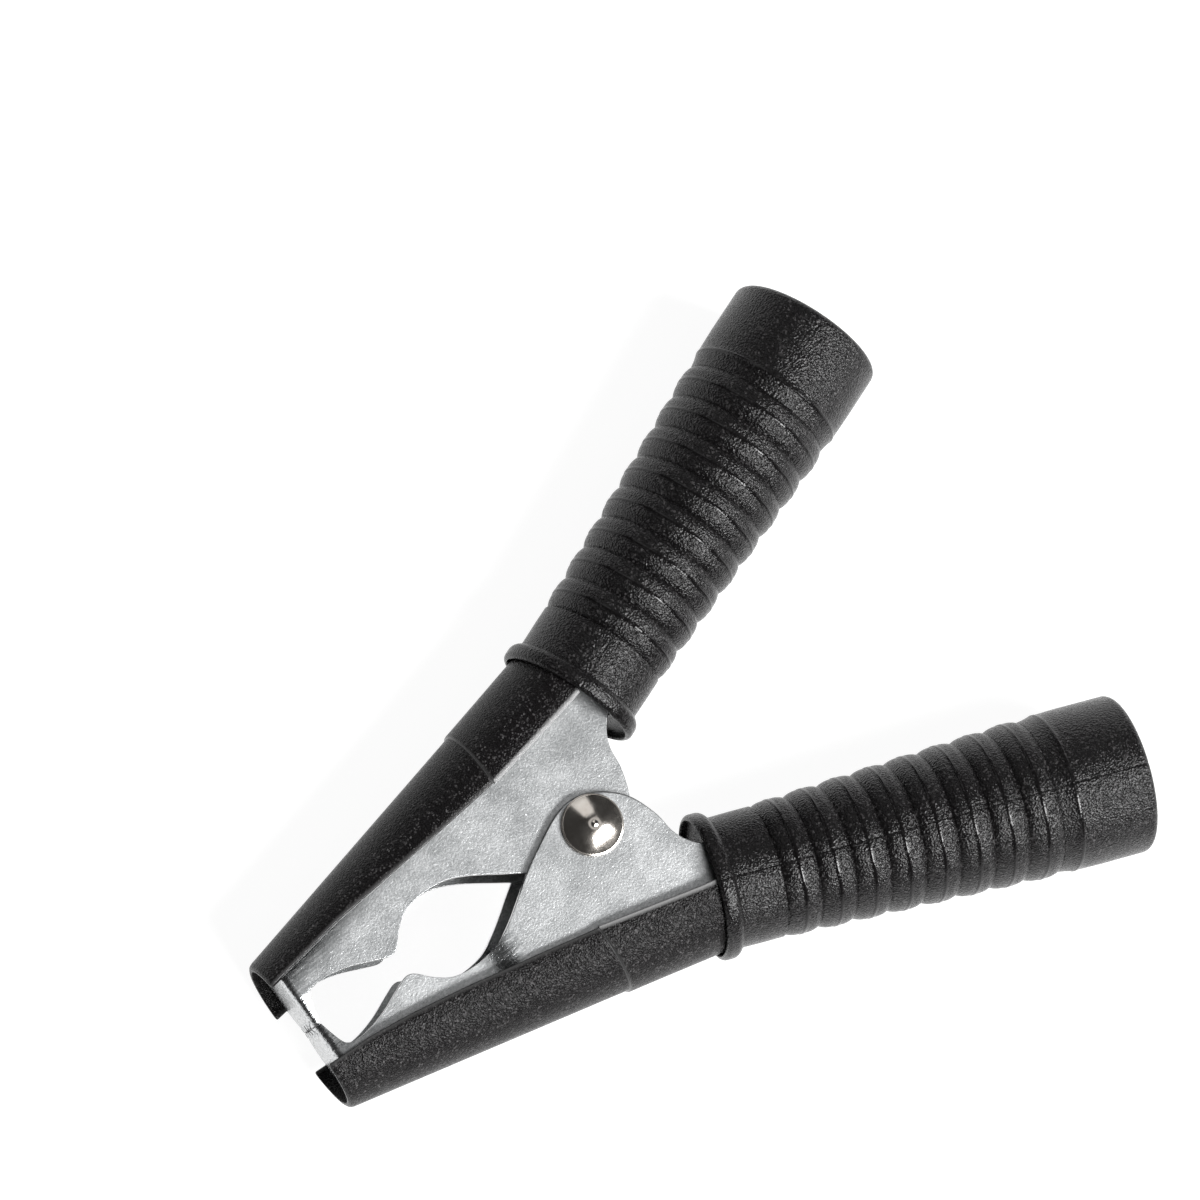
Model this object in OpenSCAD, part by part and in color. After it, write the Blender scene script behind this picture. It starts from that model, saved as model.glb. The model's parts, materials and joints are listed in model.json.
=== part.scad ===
// Insulated crocodile clamp for battery and test leads, lying on its side.
// Two sheet-steel jaws nest at a riveted pivot, a torsion spring round the pivot keeps them shut,
// and each jaw carries a half-round tip cover and a ribbed tubular grip.
// +X runs from the pivot towards the grips, +Z is the pivot axis, and z = 0 is the table.

/* [Pivot and handles] */
// Angle of each grip to the clamp's centre line, in degrees
handle_angle = 20.5; // [19:0.5:22]
// Distance of each grip's axis from the pivot
handle_offset = 14; // [13.6:0.1:14.4]
// Distance along the grip's axis from the pivot to its front face
grip_start = 16.5; // [16:0.1:17]
// Distance along the grip's axis from the pivot to its rear end
grip_end = 91; // [88:0.5:96]
// Radius of the rivet's shank
rivet_r = 2.5; // [2.2:0.1:2.8]
// Radius of the rivet's domed heads
rivet_head_r = 5.1; // [4.6:0.1:5.2]
// Height of each domed head above the jaw
rivet_head_h = 2.1; // [1.6:0.1:2.4]

/* [Jaws] */
// Thickness of the steel sheet
sheet = 1.2; // [1:0.1:1.3]
// Distance from the middle plane to the outside of the lower jaw's ears
ear_half = 8.7; // [8.6:0.05:8.8]
// Gap between the nested ears
ear_gap = 0.15; // [0.1:0.05:0.2]
// Distance from the pivot to the front of the steel nose
nose_x = 55.2; // [54.5:0.1:55.6]
// Half width of the nose where the two jaws meet
nose_tip_half = 5.9; // [5.5:0.1:6.3]
// Depth of the nose from front to back
nose_depth = 3; // [2.5:0.1:3.4]
// Gap between the two noses when the clamp is shut
bite_gap = 0.24; // [0.2:0.02:0.4]
// Number of serrations on each nose
teeth = 4; // [3:1:5]
// Depth of a serration
tooth_depth = 1.3; // [0.8:0.1:1.5]

/* [Tip covers] */
// Distance from the pivot to the open mouth of the covers
cover_x = 57; // [56.5:0.1:58]
// Height of the cover's axis above the centre line at its mouth
cover_tip_y = 4.9; // [4.7:0.1:5.1]
// Outer radius at the mouth
cover_tip_r = 8.9; // [8.8:0.05:9.1]
// Outer radius at the grip
cover_rear_r = 11; // [10.9:0.05:11.05]
// Wall of the cover
cover_wall = 1.05; // [1:0.05:1.1]
// Extra radius of the cover behind its step
cover_step = 0.35; // [0.2:0.05:0.45]
// Share of the cover's length in front of the step
cover_step_at = 0.705; // [0.65:0.005:0.75]
// How far the rims reach past the cover's axis
rim_rise = 0.9; // [0.5:0.1:1.2]

/* [Grips] */
// Radius of the rounded collar at the front of the grip
collar_r = 12.2; // [12.1:0.05:12.4]
// Length of the collar
collar_len = 3.2; // [3:0.1:3.6]
// Radius of the plain band behind the collar
band_r = 10.9; // [10.7:0.05:11.1]
// Number of finger ribs
ribs = 8; // [7:1:8]
// Distance from rib to rib
rib_pitch = 5.9; // [5.7:0.05:6]
// Radius over the first rib
rib_first_r = 11.2; // [11.1:0.05:11.4]
// Radius over the last rib
rib_last_r = 13.1; // [12.9:0.05:13.3]
// Depth of the valleys between the ribs
rib_depth = 0.8; // [0.7:0.05:0.9]
// Radius of the plain rear end
end_r = 13.3; // [13.2:0.05:13.6]
// Radius of the opening in the rear end
bore_r = 11; // [10.8:0.05:11.1]
// Length of the straight opening in the rear end
bore_len = 17; // [15:0.5:18]

/* [Steel tails and cable crimp] */
// Outer radius of the tail channel inside the grip
tail_r = 8.8; // [8.6:0.05:8.85]
// Distance along the grip's axis to the end of the channel
tail_end = 58; // [54:1:60]
// Inner radius of the cable crimp
crimp_r = 3.6; // [3.2:0.1:3.8]
// Length of the cable crimp
crimp_len = 9; // [7:0.5:10]

/* [Spring] */
// Radius of the spring wire
wire_r = 0.9; // [0.8:0.05:0.95]
// Radius of the coil at the middle of the wire
coil_r = 5; // [4.9:0.05:5.2]
// Angle of each leg to the centre line
leg_angle = 48; // [47:0.5:49]
// Half height of the coil at the middle of the wire
coil_half = 4.7; // [4.6:0.05:4.8]
// Whole turns that the coil is counted from
coil_turns = 6; // [5:1:6]

/* [Hidden] */
$fn = 96;
big = 200;

// outer face of the upper jaw's cheeks, which is also the width of both noses
cheek_half = ear_half - sheet - ear_gap;
// running clearance round the rivet, and clearance between a cover and its jaw
pivot_clearance = 0.06;
cover_clearance = 0.15;
// depth of the recess in the grip's front face that takes the ears and the cover's end
recess_depth = 2.1;
recess_r = 11.3;
ear_end = grip_start + recess_depth - 0.4;
cover_end = grip_start + 1;
ear_half_chord = 6.6;

// place of the pivot: the origin is under the middle of the clamp's outline
end_round = 1.2;
rear_x = (grip_end - end_round) * cos(handle_angle) - (handle_offset - end_r + end_round) * sin(handle_angle)
         + end_round;
pivot_x = (cover_x - rear_x) / 2;
pivot_z = end_r;

// the cover's axis runs from its mouth to the middle of the grip's front face
function on_handle(s, off) = [s * cos(handle_angle) - off * sin(handle_angle),
                              s * sin(handle_angle) + off * cos(handle_angle)];
cover_root = on_handle(grip_start, handle_offset);
cover_run = cover_root - [-cover_x, cover_tip_y];
cover_angle = atan2(cover_run.y, cover_run.x);
cover_len = norm(cover_run);
cover_slope = (cover_rear_r - cover_step - cover_tip_r) / cover_len;

// a smooth curve through a list of points, n pieces to each span
function bend(a, b, c, d, t) = 0.5 * (2 * b + (c - a) * t + (2 * a - 5 * b + 4 * c - d) * t * t
                               + (3 * b - a - 3 * c + d) * t * t * t);
function smooth(p, n) = concat(
    [for (i = [0 : len(p) - 2], k = [0 : n - 1])
        bend(p[max(i - 1, 0)], p[i], p[i + 1], p[min(i + 2, len(p) - 1)], k / n)],
    [p[len(p) - 1]]);

// working edge of a jaw, from the grip round the pivot ear, the battery-post notch and the tooth to the nose
edge = concat(
    [on_handle(ear_end, handle_offset - ear_half_chord)],
    smooth([on_handle(grip_start, handle_offset - ear_half_chord), [11.2, 10.7], [10.1, 8.2], [9.6, 4.5],
            [7.9, 0], [5.3, -2.9], [2.3, -4.7], [-0.7, -5.3], [-3.7, -4.8], [-6.3, -3.7], [-9, -2.3],
            [-13.1, 0], [-20, 4.6], [-24.3, 6.6], [-28.5, 7.1], [-32.3, 6.5], [-35, 4.7],
            [-37, 2.6], [-38.5, 2], [-41, 2.9], [-44.6, 4.4], [-48, 5.3], [-51, 5.5]], 4));
side_outline = concat(edge, [[-nose_x, 5.5], [-nose_x, 40], on_handle(ear_end, 34)]);

module along_x(h, r1, r2) {
    rotate([0, 90, 0]) cylinder(h = h, r1 = r1, r2 = r2);
}

// frames of one half, drawn for the upper jaw and mirrored for the lower one
module handle_frame() {
    rotate([0, 0, handle_angle]) translate([0, handle_offset, 0]) children();
}

module cover_frame() {
    translate([-cover_x, cover_tip_y, 0]) rotate([0, 0, cover_angle]) children();
}

module upper_half() {
    translate([pivot_x, 0, pivot_z]) children();
}

module lower_half() {
    translate([pivot_x, 0, pivot_z]) mirror([0, 1, 0]) children();
}

// everything up to a distance inside the cover's outer surface, open on the working side
module inside_cover(inset) {
    r_front = cover_tip_r - inset;
    r_back = cover_tip_r + cover_slope * (cover_len + 4) - inset;
    cover_frame() {
        along_x(cover_len + 4, r_front, r_back);
        translate([-5, -big, -big / 2]) cube([cover_len + 20, big, big]);
    }
}

// plan of a jaw between its cheeks: ears of one width joggled to the nose's width
module plan(w_ear, w_jaw, front) {
    joggle = [-22, -25.5];
    rotate([-90, 0, 0]) translate([0, 0, -20]) linear_extrude(70)
        polygon([[30, -w_ear], [joggle[0], -w_ear], [joggle[1], -w_jaw], [front, -w_jaw],
                 [front, w_jaw], [joggle[1], w_jaw], [joggle[0], w_ear], [30, w_ear]]);
}

// bent channel with flat cheeks and a round back under the cover
module channel(w_ear) {
    skin = cover_wall + cover_clearance;
    difference() {
        intersection() {
            translate([0, 0, -big / 2]) linear_extrude(big) polygon(side_outline);
            plan(w_ear, cheek_half, -nose_x - 1);
            inside_cover(skin);
        }
        intersection() {
            plan(w_ear - sheet, cheek_half - sheet, sheet - nose_x);
            inside_cover(skin + sheet);
            rotate([0, 0, handle_angle]) translate([-big, -big / 2, -big / 2]) cube([big + ear_end + 5, big, big]);
        }
    }
}

// outline of the nose seen from the front, straight above and narrowing to the bite
module nose_outline(inset, bottom) {
    polygon([[nose_tip_half - inset, bottom], [cheek_half - inset, 5], [cheek_half - inset, 5.8],
             [inset - cheek_half, 5.8], [inset - cheek_half, 5], [inset - nose_tip_half, bottom]]);
}

module nose_block(inset, bottom, depth) {
    rotate([0, -90, 0]) linear_extrude(depth) nose_outline(inset, bottom);
}

// beak at the front of a jaw, open behind, with serrations along its edge
module nose() {
    pitch = 2 * (nose_tip_half - 0.4) / teeth;
    difference() {
        translate([nose_depth - nose_x, 0, 0]) nose_block(0, bite_gap / 2, nose_depth);
        translate([nose_depth - nose_x + 1, 0, 0]) nose_block(sheet, -1, nose_depth + 1 - sheet);
        for (k = [0 : teeth - 1]) {
            translate([-nose_x - 1, 0, (k + 0.5) * pitch - teeth * pitch / 2])
                rotate([90, 0, 90]) linear_extrude(nose_depth)
                    polygon([[-1, 0.45 * pitch], [bite_gap / 2, 0.3 * pitch], [tooth_depth, 0],
                             [bite_gap / 2, -0.3 * pitch], [-1, -0.45 * pitch]]);
        }
    }
}

// round channel inside the grip, necked to a strip that ends in an open cable crimp
module tail() {
    strip_half = 4;
    neck = 5;
    crimp_y = tail_r - sheet - crimp_r - sheet + 0.6;
    handle_frame() {
        difference() {
            translate([grip_start - 3, 0, 0]) along_x(tail_end + neck + crimp_len - grip_start + 3, tail_r, tail_r);
            along_x(big, tail_r - sheet, tail_r - sheet);
            translate([0, -big - 1, -big / 2]) cube([big, big, big]);
            for (side = [-1, 1])
                translate([tail_end, -big / 2, side > 0 ? strip_half : -big - strip_half])
                    cube([big, big, big]);
        }
        translate([tail_end + neck, crimp_y, 0]) difference() {
            along_x(crimp_len, crimp_r + sheet, crimp_r + sheet);
            translate([-1, 0, 0]) along_x(crimp_len + 2, crimp_r, crimp_r);
            translate([-1, -big - 1.8, -big / 2]) cube([crimp_len + 2, big, big]);
        }
    }
}

module jaw(w_ear, hole_r) {
    difference() {
        union() {
            channel(w_ear);
            nose();
            tail();
        }
        translate([0, 0, -big / 2]) cylinder(h = big, r = hole_r);
    }
}

// half-round shield over the outside of a jaw, a little larger behind its step
module cover() {
    step_x = cover_len * cover_step_at;
    past = cover_len + 6;
    difference() {
        cover_frame() union() {
            translate([-3, 0, 0]) along_x(past + 3, cover_tip_r - 3 * cover_slope, cover_tip_r + cover_slope * past);
            translate([step_x, 0, 0])
                along_x(past - step_x, cover_tip_r + cover_step + cover_slope * step_x,
                        cover_tip_r + cover_step + cover_slope * past);
        }
        cover_frame() {
            translate([-4, 0, 0]) along_x(past + 5, cover_tip_r - cover_wall - 4 * cover_slope,
                                          cover_tip_r - cover_wall + cover_slope * (past + 1));
            translate([-5, -big - rim_rise, -big / 2]) cube([past + 20, big, big]);
        }
        translate([-cover_x - big, -big / 2, -big / 2]) cube([big, big, big]);
        handle_frame() translate([cover_end, -big / 2, -big / 2]) cube([big, big, big]);
    }
}

// outside of the grip as [distance along its axis, radius]
rib_start = grip_start + 10.9;
rib_end = rib_start + ribs * rib_pitch;
bulge_r = (pow(rib_pitch / 2, 2) + pow(rib_depth, 2)) / (2 * rib_depth);
arc_steps = 8;
function rib_top(k) = rib_first_r + (rib_last_r - rib_first_r) * k / (ribs - 1);
function rib_point(k, u) = [rib_start + rib_pitch * (k + u),
    rib_top(k) - bulge_r + sqrt(pow(bulge_r, 2) - pow(rib_pitch * (u - 0.5), 2))];
function round_corner(x, r, round, from, to, n) = [for (i = [0 : n])
    [x + round * cos(from + (to - from) * i / n), r + round * sin(from + (to - from) * i / n)]];
lip_round = 0.8;
bead_round = 1.4;
grip_outline = concat(
    round_corner(grip_start + lip_round, collar_r - lip_round, lip_round, 180, 90, 5),
    round_corner(grip_start + collar_len - bead_round, collar_r - bead_round, bead_round, 90, 10, 5),
    [[grip_start + collar_len, band_r], [rib_start, band_r]],
    [for (k = [0 : ribs - 1], i = [0 : arc_steps]) rib_point(k, i / arc_steps)],
    [[rib_end + 0.4, end_r - 1.1]],
    round_corner(rib_end + 1.6, end_r - 0.8, 0.8, 150, 90, 3),
    round_corner(grip_end - end_round, end_r - end_round, end_round, 90, 0, 5),
    [[grip_end, bore_r], [grip_end - bore_len, bore_r], [grip_start + 14, tail_r + 0.2],
     [grip_start + recess_depth, tail_r + 0.2], [grip_start + recess_depth, recess_r],
     [grip_start, recess_r]]);

module grip() {
    handle_frame() rotate([0, 90, 0]) rotate_extrude() polygon([for (p = grip_outline) [p.y, p.x]]);
}

// profile of half the rivet: shank, flat flange and low dome
module rivet_profile() {
    flange = 0.35;
    dome_r = (pow(rivet_head_r - 0.2, 2) + pow(rivet_head_h - flange, 2)) / (2 * (rivet_head_h - flange));
    dome_steps = 10;
    half_angle = asin((rivet_head_r - 0.2) / dome_r);
    polygon(concat([[0, 0], [rivet_r, 0], [rivet_r, ear_half], [rivet_head_r, ear_half],
                    [rivet_head_r, ear_half + flange]],
                   [for (i = [0 : dome_steps]) let (a = half_angle * (1 - i / dome_steps))
                       [dome_r * sin(a), ear_half + rivet_head_h - dome_r + dome_r * cos(a)]]));
}

// rings of a round wire swept along a path that stays nearly level
function ring(p, t, r, n) = let (side = [-t.y, t.x, 0] / norm([t.x, t.y]), up = cross(t, side))
    [for (i = [0 : n - 1]) p + r * (cos(360 * i / n) * side + sin(360 * i / n) * up)];
function unit(v) = v / norm(v);

module wire(path, r, n) {
    last = len(path) - 1;
    rings = [for (i = [0 : last]) ring(path[i], unit(path[min(i + 1, last)] - path[max(i - 1, 0)]), r, n)];
    polyhedron(
        points = [for (q = rings) each q],
        faces = concat(
            [[for (j = [0 : n - 1]) j]],
            [for (i = [0 : last - 1], j = [0 : n - 1])
                [i * n + j, (i + 1) * n + j, (i + 1) * n + (j + 1) % n, i * n + (j + 1) % n]],
            [[for (j = [n - 1 : -1 : 0]) last * n + j]]));
}

// spring path: one leg along each tail, joined by a close coil that winds up as the grips close
leg_lean = leg_angle - handle_angle;
leg_reach = 18.6;
leg_len = (leg_reach - coil_r * cos(leg_lean)) / sin(leg_lean);
foot_len = 7;
coil_sweep = 360 * coil_turns - 180 - 2 * leg_angle;
coil_steps = 84;
knee = coil_r * [-sin(leg_angle), cos(leg_angle)] + leg_len * [cos(leg_angle), sin(leg_angle)];
toe = knee + foot_len * [cos(handle_angle), sin(handle_angle)];
before_knee = knee - 1.2 * [cos(leg_angle), sin(leg_angle)];
after_knee = knee + 1.2 * [cos(handle_angle), sin(handle_angle)];
leg_points = [toe, after_knee, before_knee];
spring_path = concat(
    [for (p = leg_points) [p.x, -p.y, -coil_half]],
    [for (i = [0 : coil_steps]) let (a = -90 - leg_angle - coil_sweep * i / coil_steps)
        [coil_r * cos(a), coil_r * sin(a), coil_half * (2 * i / coil_steps - 1)]],
    [for (i = [2 : -1 : 0]) [leg_points[i].x, leg_points[i].y, coil_half]]);

module lower_jaw() {
    color("lightgray") lower_half() jaw(ear_half, rivet_r);
}

module upper_jaw() {
    color("lightgray") upper_half() jaw(cheek_half, rivet_r + pivot_clearance);
}

module pivot_rivet() {
    color("whitesmoke") translate([pivot_x, 0, pivot_z]) {
        rotate_extrude() rivet_profile();
        mirror([0, 0, 1]) rotate_extrude() rivet_profile();
    }
}

module spacer_tube() {
    inner_gap = cheek_half - sheet - 0.1;
    color("silver") translate([pivot_x, 0, pivot_z - inner_gap]) difference() {
        cylinder(h = 2 * inner_gap, r = rivet_r + 1.1);
        translate([0, 0, -1]) cylinder(h = 2 * inner_gap + 2, r = rivet_r + pivot_clearance);
    }
}

module torsion_spring() {
    color("dimgray") translate([pivot_x, 0, pivot_z]) wire(spring_path, wire_r, 8);
}

module lower_cover() {
    color([0.09, 0.09, 0.09]) lower_half() cover();
}

module upper_cover() {
    color([0.09, 0.09, 0.09]) upper_half() cover();
}

module lower_grip() {
    color([0.13, 0.13, 0.13]) lower_half() grip();
}

module upper_grip() {
    color([0.13, 0.13, 0.13]) upper_half() grip();
}

lower_jaw();
upper_jaw();
pivot_rivet();
spacer_tube();
torsion_spring();
lower_cover();
upper_cover();
lower_grip();
upper_grip();
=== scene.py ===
"""Visual model of an insulated crocodile clamp: two nested steel jaws on a rivet, a spring, covers and grips.

Lengths in the classes are millimetres in the clamp's own frame. Its origin is on the pivot axis half way
between the two outer faces, +X runs from the pivot towards the grips, +Y towards the upper half and +Z along
the pivot axis. Both halves are drawn as the upper one, and the lower one is its mirror image in Y.
ClampFrame turns these points into metres in the shared frame.
"""

import json
import logging
import math
from dataclasses import dataclass, field
from enum import Enum

import bmesh
import bpy
import numpy as np
from mathutils import Matrix, Vector

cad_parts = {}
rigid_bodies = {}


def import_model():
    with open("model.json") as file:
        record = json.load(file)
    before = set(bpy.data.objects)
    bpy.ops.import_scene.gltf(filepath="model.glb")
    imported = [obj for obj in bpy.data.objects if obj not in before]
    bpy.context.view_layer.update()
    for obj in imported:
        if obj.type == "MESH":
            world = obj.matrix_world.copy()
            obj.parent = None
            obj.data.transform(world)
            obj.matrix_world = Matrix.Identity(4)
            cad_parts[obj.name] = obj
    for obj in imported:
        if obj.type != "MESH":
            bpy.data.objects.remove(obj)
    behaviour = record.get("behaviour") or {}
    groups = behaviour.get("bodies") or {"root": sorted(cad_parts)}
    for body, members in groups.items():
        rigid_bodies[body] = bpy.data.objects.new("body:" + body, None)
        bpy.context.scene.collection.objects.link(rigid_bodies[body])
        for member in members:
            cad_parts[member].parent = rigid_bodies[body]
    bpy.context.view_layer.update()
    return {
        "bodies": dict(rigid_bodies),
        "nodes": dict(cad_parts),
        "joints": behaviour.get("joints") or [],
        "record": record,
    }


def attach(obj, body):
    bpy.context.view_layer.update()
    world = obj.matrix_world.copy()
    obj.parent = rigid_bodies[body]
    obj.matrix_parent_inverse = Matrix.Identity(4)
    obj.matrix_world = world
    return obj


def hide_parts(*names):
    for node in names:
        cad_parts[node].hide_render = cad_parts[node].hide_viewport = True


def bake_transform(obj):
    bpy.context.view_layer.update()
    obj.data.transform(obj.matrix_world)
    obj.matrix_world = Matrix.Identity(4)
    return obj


LOG = logging.getLogger("clamp")
MM = 0.001

Array = np.ndarray
Colour = tuple[float, float, float]


class Half(Enum):
    """The two halves of the clamp, each with the sign of its side and the body it rides on."""

    LOWER = "lower"
    UPPER = "upper"

    @property
    def sign(self) -> float:
        """+1 for the upper half and -1 for the lower one, its mirror image."""
        return 1.0 if self is Half.UPPER else -1.0

    @property
    def body(self) -> str:
        """Name of the body that this half's pieces ride on."""
        return f"{self.value}_half"

    def node(self, part: str) -> str:
        """Name of this half's node of a kind, such as upper_jaw."""
        return f"{self.value}_{part}"


# ---------------------------------------------------------------- curves and grids


def smoothstep(low: float, high: float, x: Array) -> Array:
    """0 below low, 1 above high and 3t^2 - 2t^3 between them; low may be the larger of the two."""
    t = np.clip((np.asarray(x, float) - low) / (high - low), 0.0, 1.0)
    return t * t * (3.0 - 2.0 * t)


def bump(x: Array, centre: float, width: float) -> Array:
    """A bell of height 1: e to the minus squared distance from centre in widths."""
    return np.exp(-(((np.asarray(x, float) - centre) / width) ** 2))


def soft_min(a: Array, b: Array, blend: float) -> Array:
    """The lesser of a and b, with the corner between them rounded over about the length blend."""
    return 0.5 * (a + b - np.sqrt((a - b) ** 2 + blend**2))


def smooth_curve(points: Array, per_span: int) -> Array:
    """A Catmull-Rom curve: cubics through the points, each span's slope taken from its two neighbours.

    Args:
        points: control points, one row each.
        per_span: samples on each span.

    Returns:
        The sampled curve with its last control point.
    """
    p = np.asarray(points, float)
    padded = np.vstack([p[:1], p, p[-1:]])
    a, b, c, d = padded[:-3, None], padded[1:-2, None], padded[2:-1, None], padded[3:, None]
    t = (np.arange(per_span) / per_span)[None, :, None]
    spans = 0.5 * (2 * b + (c - a) * t + (2 * a - 5 * b + 4 * c - d) * t**2 + (3 * b - a - 3 * c + d) * t**3)
    return np.vstack([spans.reshape(-1, p.shape[1]), p[-1:]])


def even_spacing(points: Array, step: float) -> Array:
    """Resamples a polyline at equal distances along itself.

    Args:
        points: the polyline, one row a point.
        step: distance aimed at between samples.

    Returns:
        Points at equal arc length, both ends kept.
    """
    lengths = np.linalg.norm(np.diff(points, axis=0), axis=1)
    along = np.concatenate([[0.0], np.cumsum(lengths)])
    wanted = np.linspace(0.0, along[-1], max(2, round(along[-1] / step) + 1))
    return np.stack([np.interp(wanted, along, column) for column in points.T], axis=1)


def corner(centre: tuple[float, float], radius: float, start: float, end: float, steps: int) -> Array:
    """An arc of a circle from one angle to another, in degrees, as rows of (along, out)."""
    a = np.radians(np.linspace(start, end, steps + 1))
    return np.stack([centre[0] + radius * np.cos(a), centre[1] + radius * np.sin(a)], axis=1)


def revolve(profile: Array, angles: Array) -> Array:
    """Turns a profile about the first axis: point (a, r) at angle q goes to (a, r cos q, r sin q).

    Args:
        profile: rows of (distance along the axis, radius).
        angles: angles round the axis, in radians.

    Returns:
        Grid of points, one row a profile point and one column an angle.
    """
    along = np.repeat(profile[:, :1], len(angles), axis=1)
    return np.stack([along, profile[:, 1:] * np.cos(angles), profile[:, 1:] * np.sin(angles)], axis=2)


@dataclass
class Grid:
    """A surface as a grid of points, with painted values that a finish may read."""

    points: Array
    wrap_rows: bool = False
    wrap_columns: bool = False
    paint: dict[str, Array] = field(default_factory=dict)

    def quads(self, first: int) -> Array:
        """Corner numbers of the grid's quads: each cell's four corners in turn, counted from first."""
        rows, columns = self.points.shape[:2]
        i = np.arange(rows if self.wrap_rows else rows - 1)[:, None]
        j = np.arange(columns if self.wrap_columns else columns - 1)[None, :]
        below, beside = (i + 1) % rows, (j + 1) % columns
        corners = [i * columns + j, i * columns + beside, below * columns + beside, below * columns + j]
        return first + np.stack([np.broadcast_to(c, (i.size, j.size)).ravel() for c in corners], axis=1)


@dataclass(frozen=True)
class ClampFrame:
    """Where the clamp stands in the shared frame: its pivot, in metres."""

    pivot: tuple[float, float, float]

    @classmethod
    def from_record(cls, frame: dict) -> "ClampFrame":
        """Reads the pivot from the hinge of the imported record."""
        return cls(tuple(frame["joints"][0]["pos_m"]))

    def metres(self, points: Array, half: Half = Half.UPPER) -> Array:
        """Clamp millimetres, drawn as the upper half, to metres in the shared frame."""
        mirrored = np.asarray(points, float) * np.array([1.0, half.sign, 1.0])
        return mirrored * MM + np.array(self.pivot)

    def build(
        self, name: str, grids: list[Grid], half: Half = Half.UPPER, crease: float = 35.0
    ) -> bpy.types.Object:
        """Makes one mesh object of several grids, with its place in its mesh.

        Args:
            name: name of the object.
            grids: the surfaces, in clamp millimetres, with faces that point outwards for the upper half.
            half: the half that it belongs to; the lower one is mirrored and its faces are turned back.
            crease: edges bent by more than this many degrees stay sharp.

        Returns:
            The new object, linked to the scene.
        """
        starts = np.cumsum([0] + [g.points.shape[0] * g.points.shape[1] for g in grids])
        points = np.vstack([g.points.reshape(-1, 3) for g in grids])
        faces = np.vstack([g.quads(int(s)) for g, s in zip(grids, starts)])
        if half is Half.LOWER:
            faces = faces[:, ::-1]
        mesh = bpy.data.meshes.new(name)
        mesh.from_pydata(self.metres(points, half).tolist(), [], faces.tolist())
        for key in sorted({key for g in grids for key in g.paint}):
            values = [np.broadcast_to(g.paint.get(key, 0.0), g.points.shape[:2]).ravel() for g in grids]
            mesh.attributes.new(key, "FLOAT", "POINT").data.foreach_set("value", np.concatenate(values))
        close_seams(mesh)
        mesh.shade_smooth()
        mesh.set_sharp_from_angle(angle=math.radians(crease))
        piece = bpy.data.objects.new(name, mesh)
        bpy.context.scene.collection.objects.link(piece)
        return piece


def close_seams(mesh: bpy.types.Mesh) -> None:
    """Merges the points that lie on each other at poles and seams, and drops the faces that vanish."""
    work = bmesh.new()
    work.from_mesh(mesh)
    bmesh.ops.remove_doubles(work, verts=work.verts, dist=2e-6)
    bmesh.ops.dissolve_degenerate(work, edges=work.edges, dist=1e-7)
    work.to_mesh(mesh)
    work.free()


def finish_piece(
    piece: bpy.types.Object, node: str, body: str, slot: str, *finishes: bpy.types.Material
) -> None:
    """Dresses a piece, lets it ride on its body and hides the node that it stands for.

    Args:
        piece: the finished object.
        node: the node that it replaces.
        body: the body that it rides on.
        slot: the record's material slot; not used.
        finishes: its materials, in slot order.
    """
    for finish in finishes:
        piece.data.materials.append(finish)
    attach(piece, body)
    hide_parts(node)
    LOG.info("%s: %d faces, rides on %s", piece.name, len(piece.data.polygons), body)


# ---------------------------------------------------------------- finishes


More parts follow.
